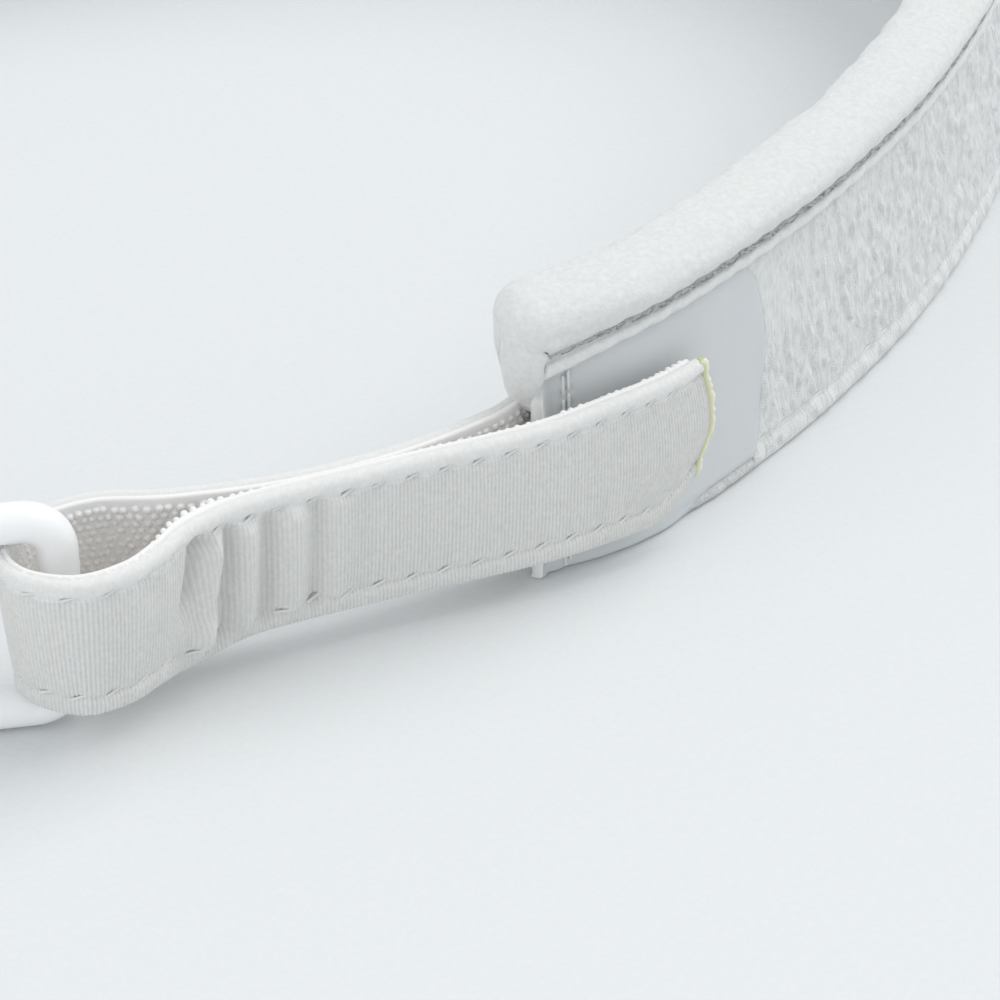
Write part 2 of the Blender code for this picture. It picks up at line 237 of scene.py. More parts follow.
def capsules(name, starts, ends, radius, material):
    """Rows of separate stitches or hooks in one mesh: a capsule from each start to its end."""
    sides = 8
    rings = np.array([-90, -60, -25, 0, 0, 25, 60, 90]) * pi / 180
    radius = np.broadcast_to(radius, len(starts))
    along = np.array([0, 0, 0, 0, 1, 1, 1, 1])
    turn = np.arange(sides) * 2 * pi / sides
    axis = ends - starts
    axis /= np.linalg.norm(axis, axis=1)[:, None]
    helper = np.where(np.abs(axis[:, 2:]) > 0.8, [[1.0, 0, 0]], [[0, 0, 1.0]])
    across = np.cross(axis, helper)
    across /= np.linalg.norm(across, axis=1)[:, None]
    third = np.cross(axis, across)
    centre = starts[:, None] + (ends - starts)[:, None] * along[None, :, None]
    centre = centre + axis[:, None] * (np.sin(rings) * radius[:, None])[..., None]
    spoke = (across[:, None] * np.cos(turn)[None, :, None]
             + third[:, None] * np.sin(turn)[None, :, None])
    points = centre[:, :, None] + spoke[:, None] * (np.cos(rings) * radius[:, None])[..., None, None]
    index = np.arange(len(starts) * len(rings) * sides).reshape(-1, len(rings), sides)
    index = np.concatenate([index, index[..., :1]], -1)
    faces = np.stack([index[:, :-1, :-1], index[:, :-1, 1:], index[:, 1:, 1:],
                      index[:, 1:, :-1]], -1).reshape(-1, 4).tolist()
    return add_mesh(name, points, faces, material)


# Materials.

class Shader:
    """A Principled material with short helpers for its nodes."""

    def __init__(self, name, colour, roughness, **sockets):
        self.material = bpy.data.materials.new(name)
        self.material.use_nodes = True
        self.tree = self.material.node_tree
        self.main = self.tree.nodes["Principled BSDF"]
        self.main.inputs["Base Color"].default_value = (*colour, 1)
        self.main.inputs["Roughness"].default_value = roughness
        for socket, value in sockets.items():
            self.main.inputs[socket.replace("_", " ")].default_value = value
        self.relief = None

    def node(self, kind, **settings):
        made = self.tree.nodes.new(kind)
        for key, value in settings.items():
            setattr(made, key, value)
        return made

    def link(self, source, target):
        self.tree.links.new(source, target)

    def math(self, operation, first, second=None, third=None):
        made = self.node("ShaderNodeMath", operation=operation)
        for socket, value in zip(made.inputs, (first, second, third)):
            if isinstance(value, (int, float)):
                socket.default_value = value
            elif value is not None:
                self.link(value, socket)
        return made.outputs[0]

    def cloth(self):
        """The cloth map's two directions, in millimetres."""
        place = self.node("ShaderNodeUVMap", uv_map="cloth")
        split = self.node("ShaderNodeSeparateXYZ")
        self.link(place.outputs[0], split.inputs[0])
        return split.outputs[0], split.outputs[1]

    def stripes(self, distance, period):
        return self.math("SINE", self.math("MULTIPLY", distance, 2 * pi / period))

    def lumps(self, size, detail=2.0, stretch=(1, 1, 1)):
        """Noise with lumps of a size in millimetres, in the piece's own space."""
        place = self.node("ShaderNodeTexCoord")
        scale = self.node("ShaderNodeMapping")
        scale.inputs["Scale"].default_value = [1 / (MM * size * s) for s in stretch]
        self.link(place.outputs["Object"], scale.inputs["Vector"])
        grain = self.node("ShaderNodeTexNoise")
        grain.inputs["Scale"].default_value = 1.0
        grain.inputs["Detail"].default_value = detail
        self.link(scale.outputs[0], grain.inputs["Vector"])
        return grain.outputs["Fac"]

    def streaks(self, width, length, detail=2.0):
        """Noise on the cloth map, its lumps so wide along the cloth and so long up it."""
        place = self.node("ShaderNodeUVMap", uv_map="cloth")
        scale = self.node("ShaderNodeMapping")
        scale.inputs["Scale"].default_value = (1 / width, 1 / length, 1)
        self.link(place.outputs[0], scale.inputs["Vector"])
        grain = self.node("ShaderNodeTexNoise", noise_dimensions="2D")
        grain.inputs["Scale"].default_value = 1.0
        grain.inputs["Detail"].default_value = detail
        self.link(scale.outputs[0], grain.inputs["Vector"])
        return grain.outputs["Fac"]

    def height(self):
        """Height above the table at rest, in millimetres."""
        place = self.node("ShaderNodeTexCoord")
        split = self.node("ShaderNodeSeparateXYZ")
        self.link(place.outputs["Object"], split.inputs[0])
        return self.math("MULTIPLY", split.outputs[2], 1 / MM)

    def raise_by(self, height, depth):
        """Adds relief of a depth in millimetres to the normal."""
        relief = self.node("ShaderNodeBump")
        relief.inputs["Strength"].default_value = 1.0
        relief.inputs["Distance"].default_value = depth * MM
        self.link(height, relief.inputs["Height"])
        if self.relief is not None:
            self.link(self.relief, relief.inputs["Normal"])
        self.relief = relief.outputs[0]
        self.link(self.relief, self.main.inputs["Normal"])

    def tint(self, amount, low, high):
        """Colour between low and high by amount."""
        ramp = self.node("ShaderNodeValToRGB")
        ramp.color_ramp.elements[0].color = (*low, 1)
        ramp.color_ramp.elements[1].color = (*high, 1)
        ramp.color_ramp.elements[0].position = 0.3
        ramp.color_ramp.elements[1].position = 0.7
        self.link(amount, ramp.inputs[0])
        self.link(ramp.outputs[0], self.main.inputs["Base Color"])


def terry_material():
    shader = Shader("brushed_towelling", (0.76, 0.765, 0.76), 0.95, Sheen_Weight=0.15,
                    Sheen_Roughness=0.5, Specular_IOR_Level=0.15)
    shader.tint(shader.lumps(0.6, 3), (0.725, 0.735, 0.725), (0.80, 0.805, 0.80))
    shader.raise_by(shader.lumps(0.8, 2), 0.09)
    shader.raise_by(shader.lumps(0.25, 3), 0.07)
    return shader.material


def crepe_material():
    shader = Shader("crepe_weave", (0.79, 0.80, 0.80), 0.85, Sheen_Weight=0.15,
                    Sheen_Roughness=0.4, Specular_IOR_Level=0.2)
    twill = shader.stripes(shader.cloth()[1], 0.26)
    puckers = shader.streaks(0.30, 1.2, 3)
    # The puckers' noise also sets the colour, lighter on their crests and darker in their hollows:
    # painted shade in the hollows.
    shader.tint(puckers, (0.76, 0.77, 0.765), (0.86, 0.87, 0.865))
    shader.raise_by(twill, 0.018)
    shader.raise_by(puckers, 0.20)
    shader.raise_by(shader.lumps(0.2, 2), 0.03)
    return shader.material


def patch_material():
    """Smooth cloth with a painted highlight on the cord down its folded end, fading out higher up
    where painted shade under the lip stands in.
    """
    shader = Shader("smooth_patch", (0.70, 0.725, 0.73), 0.8, Sheen_Weight=0.2,
                    Sheen_Roughness=0.4, Specular_IOR_Level=0.2)
    around, up = shader.cloth()
    fold_middle, fold_half = 27.6, 2.4
    # Painted highlight: the fold's cord is lighter in colour, fading out towards the top as painted
    # shade under the lip.
    cord = shader.math("COMPARE", around, fold_middle, fold_half)
    fade = shader.math("MULTIPLY_ADD", up, -0.35, 7.9)
    fade.node.use_clamp = True
    painted_fold_highlight = shader.math("MULTIPLY", cord, fade)
    amount = shader.math("MULTIPLY_ADD", shader.lumps(4.0, 2), 0.42, painted_fold_highlight)
    shader.tint(amount, (0.66, 0.685, 0.695), (0.88, 0.885, 0.88))
    shader.raise_by(shader.lumps(0.15, 2), 0.012)
    shader.raise_by(shader.lumps(2.5, 2, (1, 1, 3)), 0.05)
    return shader.material


def webbing_material():
    """Fine ribs with painted shade between them in the colour, and a painted highlight on the turned
    upper edge, where the ribs are smoother and their painted shade weaker.
    """
    shader = Shader("ribbed_webbing", (0.75, 0.75, 0.735), 0.7, Sheen_Weight=0.15,
                    Sheen_Roughness=0.35, Specular_IOR_Level=0.25)
    along, girth = shader.cloth()
    picks = shader.stripes(girth, 0.30)
    rib = shader.stripes(shader.math("ADD", along, RIB / 4), RIB)
    lit_bead_middle, lit_bead_half = 16.8, 1.9
    bead = shader.math("COMPARE", girth, lit_bead_middle, lit_bead_half)
    # Painted shade: the colour is darker between the ribs (weave), less so on the turned upper edge.
    rib_shade_depth = shader.math("SUBTRACT", 0.07, shader.math("MULTIPLY", bead, 0.055))
    weave = shader.math("MULTIPLY", rib, rib_shade_depth)
    amount = shader.math("ADD", weave, shader.math("MULTIPLY", shader.lumps(0.45, 3), 0.4))
    # Painted highlight: the turned upper edge is made lighter in colour.
    amount = shader.math("ADD", amount, shader.math("MULTIPLY", bead, 0.16))
    shader.tint(shader.math("ADD", amount, 0.22), (0.69, 0.69, 0.67), (0.86, 0.86, 0.85))
    shader.raise_by(shader.math("MULTIPLY", picks, rib), 0.006)
    shader.raise_by(shader.lumps(0.2, 3), 0.02)
    return shader.material


def tape_material():
    """Painted light: warm and a little lighter low down, standing in for warm light bounced round
    deep in the loop; more neutral towards the strap's top edge.
    """
    shader = Shader("hook_tape", (0.93, 0.91, 0.89), 0.5, Specular_IOR_Level=0.4)
    # Painted bounce light: colour by height, warm low down in the loop, neutral near the top edge.
    shader.tint(shader.math("MULTIPLY", shader.height(), 1 / 28), (0.97, 0.925, 0.88),
                (0.92, 0.915, 0.905))
    shader.raise_by(shader.lumps(0.3, 2), 0.03)
    return shader.material


def thread_material():
    shader = Shader("sewing_thread", (0.80, 0.81, 0.80), 0.55, Sheen_Weight=0.2)
    shader.raise_by(shader.lumps(0.12, 2), 0.03)
    return shader.material


def cut_edge_material():
    shader = Shader("sealed_cut_edge", (0.72, 0.74, 0.52), 0.6)
    across = shader.math("MULTIPLY_ADD", shader.cloth()[0], 0.5, 0.25)
    shader.tint(across, (0.60, 0.62, 0.38), (0.88, 0.87, 0.78))
    shader.raise_by(shader.lumps(0.3, 2), 0.05)
    return shader.material


def ring_material():
    shader = Shader("moulded_ring", (0.97, 0.975, 0.98), 0.28, Coat_Weight=0.25,
                    Coat_Roughness=0.15)
    shader.raise_by(shader.lumps(2.0, 2), 0.02)
    return shader.material


# The band.

def pad_section(closed):
    """Outline of the padding and its towelling: (out, up) from the lip over the roll and round.

    Closed is the outline at the band's ends, where the lip hangs down in front as one soft mass.
    Both outlines have the same number of points, so that one can turn into the other.
    """
    lip = [(0.3, 23.85), (0.38, 23.55), (0.5, 23.45), (0.65, 23.5), (0.74, 23.7), (0.77, 23.95),
           (0.72, 24.2), (0.55, 24.36), (0.2, 24.42), (-0.1, 24.5), (-0.15, 24.7),
           (0.15, 24.86), (0.7, 24.92)]
    if closed:
        lip = [(-1.3, 18.2), (-1.1, 17.6), (-0.8, 17.3), (-0.45, 17.5), (-0.1, 18.3), (0.3, 19.3),
               (0.65, 20.3), (0.92, 21.2), (1.12, 22.1), (1.26, 22.9), (1.35, 23.6), (1.4, 24.2),
               (1.42, 24.6)]
    angle = np.radians(np.linspace(-50, 205, 90))
    turn = np.column_stack([np.cos(angle), np.sin(angle)])
    roll = np.sign(turn) * np.abs(turn) ** (2 / ROLL_SQUARE) * ROLL_HALF + ROLL_CENTRE
    if not closed:
        roll[:, 0] -= 1.05 * (roll[:, 0] > 0) * (np.clip(27.6 - roll[:, 1], 0, 3) / 2.6) ** 1.5
    roll = roll[(roll[:, 1] > 24.95) | (roll[:, 0] < -3)]
    inside = np.column_stack([np.full(40, -PAD_THICKNESS), np.linspace(24.6, 2.6, 40)])
    turn = np.radians(np.linspace(180, 360, 10))
    foot = np.column_stack([-4.3 + 2.1 * np.cos(turn), 2.0 + 1.2 * np.sin(turn)])
    front = np.column_stack([np.full(34, -2.2), np.linspace(3.0, 23.2, 34)])
    join = [(-1.7, 24.2), (-0.9, 24.9), (-0.1, 24.7), (0.2, 24.2)]
    if closed:
        join = [(-2.0, 23.2), (-1.8, 22.6), (-1.6, 21.2), (-1.45, 19.5)]
    return np.vstack([lip, roll, inside, foot, front, join])


def pad_end_shape(out, up, from_end):
    """Outline and core near the padding's ends, where it leaves the strap its way out."""
    strap_way = (1 - ease(from_end, 4, 8)) * ease(up, 1.8, 3.0) * (1 - ease(up, 16.6, 17.8))
    back = (out > -6.2) & (up < 23) & (out < -1.9)
    out = np.where(back, out + (-6.15 - out) * strap_way, out)
    core = -3.6 + 0.9 * ease(up, 21, 26) - 2.6 * strap_way
    return out, core


def build_pad(material):
    """Padding and towelling in one pillow with round ends; the roll's skin is gathered."""
    section, closed = pad_section(False), pad_section(True)
    ends = band.length
    cap = 1 - np.cos(np.linspace(0, pi / 2, 24))
    cap_length = 3.2
    round_end = PAD_END + cap_length * cap
    middle = np.arange(round_end[-1], ends - round_end[-1], 0.42)[1:]
    distance = np.concatenate([round_end, middle, (ends - round_end)[::-1]])
    along = np.broadcast_to(distance[:, None], (len(distance), len(section)))
    from_end = np.minimum(along - PAD_END, ends - PAD_END - along)
    place = np.arange(len(section))
    above = place >= GROOVE_END
    opening = 1.2 + np.clip(place / GROOVE_END, 0, 1)
    open_share = ease(from_end, opening, opening + 0.9)
    outline = closed + (section - closed) * open_share[..., None]
    up = outline[..., 1]
    out, core_out = pad_end_shape(outline[..., 0], up, from_end)
    lip = (place < LIP_POINTS) * open_share
    groove = (place >= LIP_POINTS) * (place < GROOVE_END) * open_share
    skirt = (1 - ease(up, 25.2, 28.4)) * ease(up, 24.8, 24.9) * (out > -1) * above
    skirt = skirt * open_share
    near_end = bump(from_end, 0, 8)
    up = up - near_end * (lip * (2.1 - 0.45 * ease(up, 23.9, 24.3)) + 1.6 * groove + 1.5 * skirt)
    out = out + 0.4 * near_end * groove
    cap_share = np.clip(from_end / cap_length, 0, 1)
    fullness = np.sqrt(np.clip(1 - (1 - cap_share) ** 2, 1e-4, 1))
    core_up = np.clip(up, 2.6, 26.2)
    out = core_out + (out - core_out) * fullness
    up = core_up + (up - core_up) * fullness
    pull = np.abs(np.sin(pi * along / STITCH))
    puff = bump(out, 1.2, 0.9) * bump(up, 25.2, 0.7) * (0.30 * pull - 0.12) * open_share
    puff = puff * above
    lumps = 0.16 * noise(along / 7, up / 4, 1) + 0.08 * noise(along / 2.1, (up + out) / 2.0, 2)
    pile = 0.06 * noise(along / 0.8, (up - out) / 0.8, 3)
    ruck = lip * (0.07 * noise(along / 1.4, up / 2, 4) + 0.07 * np.sin(2 * pi * along / STITCH))
    swell = puff + (lumps + pile) * ease(up, 25.0, 26.4) + ruck + 0.5 * lumps * (out < -5)
    reach = np.hypot(out + 2.6, up - 26.4) + 0.01
    zone = ease(up, 23.6, 24.6)
    out = out + swell * (zone * (out + 2.6) / reach + (1 - zone) * np.sign(out + 4.2))
    up = up + swell * zone * (up - 26.4) / reach
    side = np.where(along < ends / 2, 1, -1)
    shift = 1.3 * (1 - ease(up, 15.5, 20)) * bump(from_end, 0, 1.2) + bump(from_end, 0, 7) * (
        4.9 * ease(up, 2, 5) * (1 - ease(up, 15.8, 17.4)) - 0.4 * ease(up, 19, 25)
        + 2.6 * (1 - ease(up, 18.5, 24)) * ease(-out, 3, 6))
    drop = 0.35 * bump(from_end, 0, 9) * ease(up, 20, 29)
    points = band_point(along + shift * side, out, up - drop)
    girth = run_along(section)
    girth = np.append(girth, girth[-1] + 1.0)
    uv = np.stack(np.meshgrid(distance, girth, indexing="ij"), -1)
    pad = surface("padded_sweatband", points, uv, material, loop=True, caps=True)
    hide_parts("sweatband", "foam_core", "stiffener")
    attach(pad, "root")


def patch_edge(up):
    """Distance from the band end to the patch's rounded inner edge."""
    return PATCH_LENGTH + 2.9 * bump(up, 14.0, 9.5) - 1.4 * ease(up, 20, 25)


def crepe_puckers(along, up, edge):
    """Fine upright puckers that fade towards the flat weave by the patch's upper corner."""
    wander = 0.55 * noise(along / 1.7, up / 1.5, 11) + 0.05 * up
    fine = noise((along + wander) / 0.46, up / 1.5, 12)
    broad = noise((along + wander) / 0.95, up / 2.3, 13)
    cross = noise(along / 0.7, up / 0.6, 14)
    flat = bump(along - edge, 0, 6.5) * ease(up, 9, 17)
    return (0.26 * fine + 0.13 * broad + 0.09 * cross) * (1 - 0.85 * flat)


def hem_relief(along, up):
    """Small pillows along the turned hem and the stitched groove above them."""
    step = np.abs(np.sin(pi * along / STITCH))
    blobs = 0.32 * noise(along / 1.0, up / 1.3, 15) + 0.08 * noise(along / 0.5, up / 0.6, 20)
    pillows = bump(up, 1.35, 0.95) * (blobs + 0.16 * step)
    uneven = 0.75 + 0.4 * noise(along / 4.5, up * 0, 18)
    line = HEM + 0.12 * noise(along / 1.3, up * 0, 19)
    groove = bump(up, line, 0.34) * uneven * (0.42 + 0.18 * np.cos(2 * pi * along / STITCH))
    gather = bump(up, HEM + 1.4, 1.3) * 0.10 * np.cos(2 * pi * along / STITCH)
    return 0.12 * bump(up, 1.3, 1.0) + pillows - groove - gather


def build_shell(material):
    """Crepe shell: its hem turned under, pillowed between the hem stitches."""
    turn = np.radians(np.linspace(-90, 0, 7))
    outline = [(-5.6, 0.12), (-4.0, 0.1), (-2.5, 0.05), (-1.4, 0.0)]
    outline += [(-0.75 + 0.75 * np.cos(a), 0.75 + 0.75 * np.sin(a)) for a in turn]
    outline += [(0.0, z) for z in np.linspace(1.0, WALL_TOP - 0.6, 84)]
    section = np.array(outline)
    share = np.linspace(0, 1, 2500)[:, None]
    up, out = section[:, 1][None, :], section[:, 0][None, :]
    edge = patch_edge(up)
    along = edge + (band.length - 2 * edge) * share
    up, out = np.broadcast_arrays(up, out, along)[:2]
    from_edge = np.minimum(along - edge, band.length - edge - along)
    wall = ease(up, -0.1, 1.1)
    swell = crepe_puckers(along, up, edge) * ease(up, 2.7, 3.8) + hem_relief(along, up)
    swell = swell + 0.12 * noise(along / 11, up / 9, 16)
    swell = wall * (swell - 0.3 * (1 - ease(from_edge, 0, 0.6)))
    lift = 0.05 * (1 - wall) * noise(along / 3, up, 17)
    points = band_point(along, out + swell, np.maximum(up + np.abs(lift), 0.0))
    uv = np.stack(np.broadcast_arrays(along, run_along(section)[None, :]), -1)
    shell = surface("crepe_shell", points, uv, material)
    thicken(shell, 0.6)
    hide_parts("outer_panel")
    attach(shell, "root")


def build_hem_tail(name, mirror, material):
    """The shell's turned hem runs on below the patch and fades out there."""
    turn = np.radians(np.linspace(-90, 90, 13))
    outline = [(-4.2, 0.12), (-2.4, 0.05), (-1.2, 0.02)]
    outline += [(-0.8 + 0.8 * np.cos(a), 0.8 + 0.78 * np.sin(a)) for a in turn]
    outline += [(-1.3, 1.6), (-2.2, 1.5)]
    section = np.array(outline)
    distance = np.arange(12.5, 28.2, 0.12)
    along, out = np.meshgrid(distance, section[:, 0], indexing="ij")
    up = np.broadcast_to(section[:, 1], along.shape)
    share = ease(along, 12.5, 22.0)
    front = ease(out, -1.2, -0.5)
    swell = hem_relief(along, np.minimum(up, 1.4)) * 0.6 * front * share
    sink = -0.55 * (1 - share) - 0.25 * ease(along, 26.5, 28)
    level = up * (0.55 + 0.45 * share)
    if mirror:
        along = band.length - along
    points = band_point(along, out + swell + sink, level)
    girth = np.broadcast_to(np.linspace(0, 10, len(section)), up.shape)
    tail = surface(name, points, np.stack([along, girth], -1), material, flip=mirror)
    thicken(tail, 0.4)
    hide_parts("outer_panel")
    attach(tail, "root")


def thicken(piece, thickness):
    solid = piece.modifiers.new("thickness", "SOLIDIFY")
    solid.thickness = thickness * MM
    solid.offset = -1.0


def fold_line(up):
    """Where the patch's folded end lies, before the band's own end: it flares at the foot."""
    return -0.25 - 0.7 * (1 - ease(up, 0, 19))


def build_patch(name, node, mirror, material):
    """Smooth landing patch, its end turned round a cord-like fold and back inside."""
    up_line = np.concatenate([[0.06, 0.1, 0.25, 0.5], np.linspace(0.9, WALL_TOP - 0.5, 60)])
    turn = np.linspace(0, pi, 14)
    flat = np.linspace(1, 0, 70)
    up = np.broadcast_to(up_line, (len(flat) + len(turn) + 8, len(up_line)))
    fold = fold_line(up_line)
    radius = 0.68 - 0.1 * bump(up_line, 0, 2)
    edge = patch_edge(up_line) + 0.35
    face = fold + radius + (edge - fold - radius) * flat[:, None]
    tuck = fold + radius + np.linspace(0, 4.5, 9)[1:, None]
    along = np.vstack([face, fold + radius - radius * np.sin(turn)[:, None], tuck])
    out = np.vstack([0 * face, -radius + radius * np.cos(turn)[:, None], -2 * radius + 0 * tuck])
    on_face = np.vstack([0 * face + 1, np.cos(turn / 2)[:, None] + 0 * edge, 0 * tuck])
    stitch = bump(along, END_STITCH + fold_line(up) * 0.6, 0.55) * on_face
    dent = stitch * (0.12 + 0.10 * np.cos(2 * pi * up / END_STEP))
    soft = 0.16 * noise(along / 7, up / 8, 21) + 0.05 * noise(along / 2.5, up / 3.5, 22)
    roll = (0.32 * bump(along, fold + 0.6, 0.55) - 0.16 * bump(along, fold + 1.7, 0.5)) * on_face
    hem = bump(up, 0.2, 1.1)
    ruck = hem * (0.03 * np.sin(2 * pi * along / 4.3) + 0.06 * noise(along / 2.2, up, 23))
    inward = 0.5 * (1 - ease(up, 0, 0.7)) ** 2
    over_hem = 0.6 * ease(along, 12, 22) * (1 - ease(up, 1.2, 2.0))
    swell = on_face * (soft + ruck - inward - over_hem) - dent + roll
    droop = 3.0 * bump(along, 0, 8) * ease(up, 15, 25.1)
    if mirror:
        along = band.length - along
    points = band_point(along, out + swell, up - droop)
    girth = np.broadcast_to(np.linspace(0, 33, up.shape[0])[:, None], up.shape)
    uv = np.stack([girth, up], -1)
    patch = surface(name, points, uv, material, flip=not mirror)
    thicken(patch, 0.45)
    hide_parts(node)
    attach(patch, "root")


def band_stitches(name, node, first, last, height, out, material):
    """A row of separate topstitches along the band, each a little aslant."""
    radius, slope = 0.17, 0.25
    count = int((last - first) / STITCH)
    begin = first + STITCH * (np.arange(count) + 0.14)
    finish = begin + STITCH * 0.72
    level = np.full(count, height)
    starts = band_point(begin, np.full(count, out), level - slope / 2)
    ends = band_point(finish, np.full(count, out), level + slope / 2)
    row = capsules(name, starts, ends, radius, material)
    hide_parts(node)
    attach(row, "root")


def end_stitches(name, node, mirror, material):
    """Two strands side by side, one a little behind the other."""
    count = 9
    step = END_STEP * np.arange(count)
    low = np.concatenate([1.4 + step, 0.8 + step])
    high = low + 1.9
    strand = np.repeat([0.26, -0.26], count)
    line = [END_STITCH + strand + fold_line(level) * 0.6 for level in (low, high)]
    if mirror:
        line = [band.length - place for place in line]
    out = np.repeat([0.06, -0.02], count)
    starts = band_point(line[0], out, low)
    ends = band_point(line[1], out, high)
    row = capsules(name, starts, ends, 0.16, material)
    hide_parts(node)
    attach(row, "root")


# The strap.

def ribbon_section(width, thickness, bead):
    """Closed outline of a webbing strip with turned edges, and which points face outwards."""
    turn = np.radians(np.linspace(-90, 90, 9))
    half = (thickness + bead) / 2
    face_up = np.linspace(half, width - half, 62)
    lower = [(-half + half * np.sin(a), half - half * np.cos(a)) for a in turn]
    upper = [(-half + half * np.sin(a), width - half + half * np.cos(a)) for a in turn[::-1]]
    face = [(0.0, z) for z in face_up[1:-1]]
    back = [(-thickness, z) for z in np.linspace(width - half, half, 14)[1:-1]]
    points = np.array(lower + face + upper + back)
    front = np.array([0.5 + 0.5 * np.sin(a) for a in turn] + [1.0] * len(face)
                     + [0.5 + 0.5 * np.sin(a) for a in turn[::-1]] + [0.0] * len(back))
    return points, front


def ribbon_relief(along, up, width, phase):
    """Ribs, turned edges, the stitches' pockets and their puckers, as height above the strip."""
    from_edge = np.minimum(up, width - up)
    edge = np.where(up > width / 2, 0.24, 0.10) * bump(from_edge, 0.9, 0.8)
    from_seam = np.where(up > width / 2, width - EDGE - up, up - EDGE_LOW)
    weave = np.where(up > width / 2, 0.12 + 0.88 * ease(from_edge, 1.5, 2.3), 1.1)
    rib = 0.06 * weave * np.cos(2 * pi * along / RIB + 0.5 * noise(along / 1.5, up / 0.9, 32))
    step = (along / STITCH + phase) % 1.0 - 0.5
    slant = np.where(up > width / 2, -from_seam, from_seam) * 0.9
    pocket = bump(step * STITCH - slant, 0, 0.62) * bump(from_seam, 0, 0.42)
    depth = np.where(up > width / 2, 0.46, 0.34)
    groove = depth * pocket + 0.24 * bump(from_seam, 0, 0.26)
    pull = 0.14 * bump(step * STITCH, 0, 0.7) * bump(from_seam, 1.0, 1.1)
    crown = 0.18 * np.sin(pi * np.clip(up / width, 0, 1))
    fuzz = 0.022 * noise(along / RIB * 2, up / 0.35, 31)
    return rib + edge - groove - pull + crown + fuzz


def strap_folds(x, up):
    """Upright wrinkles where the strap comes off the fold, as height at each x.

    A fold's row is its x, height, width and how far it leans over the strap's width.
    """
    share = up / STRAP_WIDTH
    body = ease(share, 0.0, 0.2) * (1 - ease(share, 0.80, 0.92))
    crease = -1.7 * bump(x, 0.4 + 3.2 * (0.9 - share), 0.72) * ease(share, 0.3, 0.55)
    pocket = -0.9 * bump(x, -0.4, 1.3) * bump(up, 13.2, 0.8)
    folds = [(-0.6, 1.25, 0.9, 3.0), (-2.7, -1.15, 0.75, 0.8), (-4.8, 1.2, 0.9, 0.4),
             (-7.0, -1.10, 0.8, 0.4), (-9.4, 1.0, 1.0, 0.5), (-11.8, -0.82, 0.9, 0.5),
             (-14.0, 0.48, 1.2, 0.5), (-17.0, -0.25, 1.5, 0.5), (-27.5, 0.18, 1.6, 0.5)]
    total = crease * body + pocket
    for centre, height, width, lean in folds:
        slant = centre + lean * (0.5 - share)
        total = total + height * bump(x, slant, width) * body
    under = bump(x, -0.4, 2.2) * (0.8 * bump(up, 3.8, 1.4) - 0.25 * (1 - ease(up, 1.3, 2.3)))
    return np.maximum(total + under, -1.9)


def fold_back(height):
    """How far the strip's back follows a wrinkle of its face: little, so that the tape stays flat."""
    return np.minimum(0.25 * height, height + 0.5)


def tip_shape(along, up):
    """Near the tip the cut end bows and the lower corner is rounded off."""
    near = ease(along, strap.length - 16, strap.length)
    bow = 0.7 + 1.5 * np.abs(up / STRAP_WIDTH - 0.5) ** 1.5 * 2.2 + 0.9 * (1 - ease(up, 2, 7))
    corner = np.clip((along - strap.length + 7.5) / 7.5, 0, 1) ** 2.0
    lift = 3.3 * corner * (1 - up / STRAP_WIDTH) ** 1.3
    return along - bow * near, up + lift


def strap_grid(first, last, step, section):
    """The section's points at every step of the strap: along, out and up."""
    distance = np.arange(first, last, step)
    along, out = np.meshgrid(distance, section[:, 0], indexing="ij")
    up = np.broadcast_to(section[:, 1], along.shape)
    return along, out, up


def build_strip(name, first, last, material, folds):
    """Webbing from one distance along the strap to another, wrinkled where it has folds."""
    section, front = ribbon_section(STRAP_WIDTH, WEBBING, STRAP_BEAD)
    along, out, up = strap_grid(first, last, RIB / 5, section)
    swell = ribbon_relief(along, up, STRAP_WIDTH, 0.0) * front
    if folds:
        wrinkle = strap_folds(strap.at(along)[0][..., 0], up)
        swell = swell + wrinkle * front + fold_back(wrinkle) * (1 - front)
    points = strap_point(*tip_spot(along, out + swell, up))
    girth = run_along(section)
    girth = np.append(girth, girth[-1] + 0.3)
    uv = np.stack(np.meshgrid(along[:, 0], girth, indexing="ij"), -1)
    return surface(name, points, uv, material, loop=True, caps=True)


def tape_depth(x):
    """Thickness of the front tape's bed: fuller round the open loop."""
    return TAPE - 0.08 + 0.3 * ease(x, -6, -1) * (1 - ease(x, 0, 4))


def build_tape(name, first, last, high, material, folds):
    """Fastener tape on the strip's inner face."""
    low, corner = 0.7, 0.2
    face = -WEBBING - TAPE_GAP
    flat = np.linspace(low + corner, high - corner, 24)
    section = np.array([(0, z) for z in flat] + [(-corner, high), (-1 + corner, high)]
                       + [(-1, z) for z in flat[::-1]]
                       + [(-1 + corner, low), (-corner, low)])[::-1]
    along, depth, up = strap_grid(first, last, 0.3, section)
    x = strap.at(along)[0][..., 0]
    out = face + depth * (tape_depth(x) if folds else TAPE)
    if folds:
        out = out + fold_back(strap_folds(x, up))
    points = strap_point(*tip_spot(along, out, up))
    girth = np.linspace(0, 30, len(section) + 1)
    uv = np.stack(np.meshgrid(along[:, 0], girth, indexing="ij"), -1)
    return surface(name, points, uv, material, loop=True, caps=True, flip=True)


def tip_spot(along, out, up):
    """A strap spot moved by the tip's shape, as strap_point takes it."""
    along, up = tip_shape(along, up)
    return along, out, up


